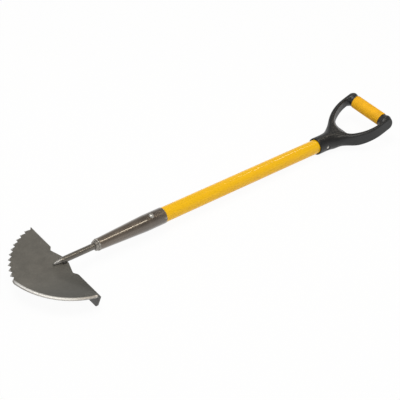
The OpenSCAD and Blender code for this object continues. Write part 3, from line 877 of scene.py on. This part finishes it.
class EDGER_OT_neck(bpy.types.Operator):
    """Finishes the neck rod and lays the rippled welds round it and beside it"""

    bl_idname = "edger.neck"
    bl_label = "Neck and welds"

    def execute(self, context):
        sizes, colours = context.scene.edger_sizes, context.scene.edger_colours
        dress_node("neck_rod", rod_finish(colours))
        tree = weld_tree()
        self.lay(tree, "neck_weld_ring", "neck_weld", [self.ring(*one) for one in NECK_PASSES], 0.4 * MM, {
            "Ripples": sizes.neck_beads, "Ripple Radius": sizes.neck_bead, "Unevenness": 0.2, "Seed": 4,
            "Material": weld_finish("weld_metal", tuple(colours.weld), roughness=0.3, metallic=0.85)})
        runs = [[(x, side, SEAT_LEVEL) for x in SEAT_PLACES] for side in (-SEAT_SIDE, SEAT_SIDE)]
        # Painted shadow: the welds on the blade are nearly black and stand for the shadow along the rod's lower side.
        dark = shade(tuple(colours.rod), 0.3)
        self.lay(tree, "blade_weld_beads", "blade_weld", runs, 0.35 * MM, {
            "Ripples": sizes.seat_beads, "Ripple Radius": sizes.seat_bead, "Unevenness": 0.12, "Seed": 9,
            "Material": weld_finish("blade_weld_metal", dark, roughness=0.6, metallic=0.3)})
        return {"FINISHED"}

    @staticmethod
    def ring(x, radius, start):
        """Points once round the rod, the last on the first."""
        turns = [start + 2 * math.pi * i / RING_POINTS for i in range(RING_POINTS + 1)]
        return [(x, radius * math.cos(a), radius * math.sin(a)) for a in turns]

    @staticmethod
    def lay(tree, name, node, runs, voxel, values):
        """Makes ripples along runs of points, melts them into one bead and sets it as a piece."""
        values["Core Radius"] = values["Ripple Radius"] * CORE_SHARE
        mesh = with_modifiers(
            tree.mesh(name, values, path_mesh(name + "_path", runs)),
            ("REMESH", {"mode": "VOXEL", "voxel_size": voxel, "use_smooth_shade": True}),
            ("SMOOTH", {"factor": 0.5, "iterations": 16}))
        wear_only(mesh, values["Material"])
        set_piece(name, mesh, node)


class EDGER_OT_socket(bpy.types.Operator):
    """Finishes the tapered socket and its rivet"""

    bl_idname = "edger.socket"
    bl_label = "Socket and rivet"

    def execute(self, context):
        colours = context.scene.edger_colours
        dress_node("socket", socket_finish(colours))
        dress_node("socket_rivet", rivet_finish(colours))
        return {"FINISHED"}


class EDGER_OT_shaft(bpy.types.Operator):
    """Finishes the yellow shaft and the plugs in its ends"""

    bl_idname = "edger.shaft"
    bl_label = "Shaft and plugs"

    def execute(self, context):
        colours = context.scene.edger_colours
        dress_node("shaft_tube", shaft_finish(colours))
        wood = wood_finish(colours)
        dress_node("socket_plug", wood)
        dress_node("handle_plug", wood)
        return {"FINISHED"}


class EDGER_OT_handle(bpy.types.Operator):
    """Makes the moulded D handle as one smooth skin, and finishes its pin"""

    bl_idname = "edger.handle"
    bl_label = "D handle and pin"

    def execute(self, context):
        sizes, colours = context.scene.edger_handle, context.scene.edger_colours
        field = functools.partial(handle_field, sizes)
        home = TOOL.inverted()
        ends = [home @ Vector(corner) for corner in itertools.product(*zip(*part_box("handle_frame")))]
        low, high = np.min(ends, axis=0) - SKIN_MARGIN, np.max(ends, axis=0) + SKIN_MARGIN
        points, faces = skin(field, low, high, sizes.cell)
        for _ in range(SKIN_ROUNDS):
            points = settle(field, relaxed(points, faces, SKIN_SHARE))
        mesh = bpy.data.meshes.new("handle_skin")
        mesh.from_pydata([TOOL @ Vector(p) for p in points], [], faces.tolist())
        mesh.validate()
        shade_smooth(mesh)
        wear_only(mesh, handle_finish(colours))
        set_piece("d_handle", mesh, "handle_frame")
        dress_node("handle_pin", rivet_finish(colours))
        return {"FINISHED"}


class EDGER_OT_grip(bpy.types.Operator):
    """Makes the yellow sleeve on the bar of the handle"""

    bl_idname = "edger.grip"
    bl_label = "Grip sleeve"

    def execute(self, context):
        sizes = context.scene.edger_sizes
        mesh = sleeve_tree().mesh("grip", {
            "Length": sizes.grip_length, "Radius": sizes.grip_radius, "Wall": sizes.grip_wall,
            "Lip": sizes.grip_lip, "Sides": SLEEVE_SIDES, "Material": grip_finish(context.scene.edger_colours)})
        low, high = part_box("grip_sleeve")
        mesh.transform(Matrix.Translation((low + high) / 2) @ Matrix.Rotation(math.pi / 2, 4, "X"))
        store(joined(mesh), mesh)
        shade_smooth(mesh)
        mesh.set_sharp_from_angle(angle=math.radians(GRIP_CREASE))
        set_piece("grip", mesh, "grip_sleeve")
        return {"FINISHED"}


class EDGER_OT_stage(bpy.types.Operator):
    """Sets the pale floor, the camera of the photograph and plain soft light"""

    bl_idname = "edger.stage"
    bl_label = "Stage"

    def execute(self, context):
        stage = context.scene.edger_stage
        context.scene.view_settings.view_transform = "Standard"
        self.floor(stage)
        self.camera(context, stage)
        self.light(context, stage)
        return {"FINISHED"}

    @staticmethod
    def floor(stage):
        """Pale paper that camera, mirror and glass rays see almost white, and that keeps the shadow."""
        made = bmesh.new()
        bmesh.ops.create_circle(made, cap_ends=True, segments=FLOOR_SIDES, radius=stage.floor_radius)
        bmesh.ops.translate(made, verts=made.verts, vec=(0, 0, CAD_BOX[0][2] - stage.floor_gap))
        mesh = store(made, bpy.data.meshes.new("studio_floor"))
        material = bpy.data.materials.new("pale_floor")
        material.use_nodes = True
        pale = Nodes(material.node_tree)
        pale.tree.nodes.clear()
        paper = pale.add("ShaderNodeBsdfDiffuse", Color=FLOOR_GREY)[0]
        glow = pale.add("ShaderNodeEmission", Strength=1.0)[0]
        ray = pale.add("ShaderNodeLightPath")
        seen = pale.maths("MAXIMUM", ray["Is Camera Ray"], ray["Is Glossy Ray"])
        seen = pale.maths("MAXIMUM", seen, ray["Is Transmission Ray"])
        both = pale.add("ShaderNodeMixShader", i0=pale.maths("MULTIPLY", seen, FLOOR_GLOW), i1=paper, i2=glow)[0]
        pale.add("ShaderNodeOutputMaterial", Surface=both)
        mesh.materials.append(material)
        floor = put("studio_floor", mesh)

    @staticmethod
    def camera(context, stage):
        camera = bpy.data.cameras.new("photo_camera")
        camera.lens, camera.sensor_width, camera.clip_end = stage.lens, FRAME_WIDTH, SIGHT
        eye = put("photo_camera", camera)
        turned = Matrix([*zip(EYE_RIGHT, EYE_UP, EYE_BACK)]).to_4x4()
        eye.matrix_world = TOOL @ Matrix.Translation(EYE) @ turned
        context.scene.camera = eye

    @staticmethod
    def light(context, stage):
        """A room that is brighter low down, one large soft lamp and two small ones."""
        world = bpy.data.worlds.new("pale_room")
        context.scene.world = world
        world.use_nodes = True
        room = Nodes(world.node_tree)
        room.tree.nodes.clear()
        ray = room.add("ShaderNodeTexCoord")["Generated"]
        height = room.add("ShaderNodeSeparateXYZ", Vector=ray)["Z"]
        fall = room.add("ShaderNodeMapRange", {"interpolation_type": "SMOOTHERSTEP"}, Value=height,
                        From_Min=LOW_SKY, From_Max=HIGH_SKY, To_Min=stage.horizon, To_Max=stage.zenith)["Result"]
        glow = room.add("ShaderNodeBackground", Color=ROOM_WHITE, Strength=fall)[0]
        room.add("ShaderNodeOutputWorld", Surface=glow)
        strip = (stage.strip_power, STRIP_COLOUR)
        lamps = (
            ("key_light", (-0.5, 0.15, 2.4), (-0.05, 0.0, 0.0), 1.4, 1.0, stage.key_power, KEY_COLOUR),
            ("socket_light", (0.47, -0.42, 1.55), (-0.39, 0.0, 0.04), 0.28, 0.4, *strip),
            ("shaft_light", (1.59, 0.57, 1.63), (0.0, 0.0, 0.03), 0.3, 0.35, *strip),
        )
        for name, place, aim, long, wide, power, colour in lamps:
            lamp = bpy.data.lights.new(name, "AREA")
            lamp.shape, lamp.size, lamp.size_y, lamp.energy, lamp.color = "RECTANGLE", long, wide, power, colour
            holder = put(name, lamp)
            holder.location = place
            holder.rotation_euler = (Vector(aim) - Vector(place)).to_track_quat("-Z", "Y").to_euler()


class EDGER_PT_panel(bpy.types.Panel):
    """Lists the steps that build the edger"""

    bl_idname = "EDGER_PT_panel"
    bl_label = "Half Moon Edger"
    bl_space_type = "VIEW_3D"
    bl_region_type = "UI"
    bl_category = "Edger"

    def draw(self, context):
        for step in STEPS:
            self.layout.operator(step.bl_idname)
        for group in (getattr(context.scene, name) for name in GROUPS):
            box = self.layout.box()
            for name in group.bl_rna.properties.keys():
                if name not in ("rna_type", "name"):
                    box.prop(group, name)


STEPS = (EDGER_OT_blade, EDGER_OT_neck, EDGER_OT_socket, EDGER_OT_shaft, EDGER_OT_handle, EDGER_OT_grip,
         EDGER_OT_stage)
GROUPS = {"edger_sizes": EdgerSizes, "edger_handle": HandleSizes, "edger_colours": EdgerColours,
          "edger_stage": StageValues}


def register():
    for group in GROUPS.values():
        bpy.utils.register_class(group)
    for name, group in GROUPS.items():
        setattr(bpy.types.Scene, name, PointerProperty(type=group))
    for step in (*STEPS, EDGER_PT_panel):
        bpy.utils.register_class(step)


def unregister():
    for step in (EDGER_PT_panel, *reversed(STEPS)):
        bpy.utils.unregister_class(step)
    for name, group in GROUPS.items():
        delattr(bpy.types.Scene, name)
        bpy.utils.unregister_class(group)


def main():
    register()
    bpy.ops.edger.blade()
    bpy.ops.edger.neck()
    bpy.ops.edger.socket()
    bpy.ops.edger.shaft()
    bpy.ops.edger.handle()
    bpy.ops.edger.grip()
    bpy.ops.edger.stage()


if __name__ == "__main__":
    main()
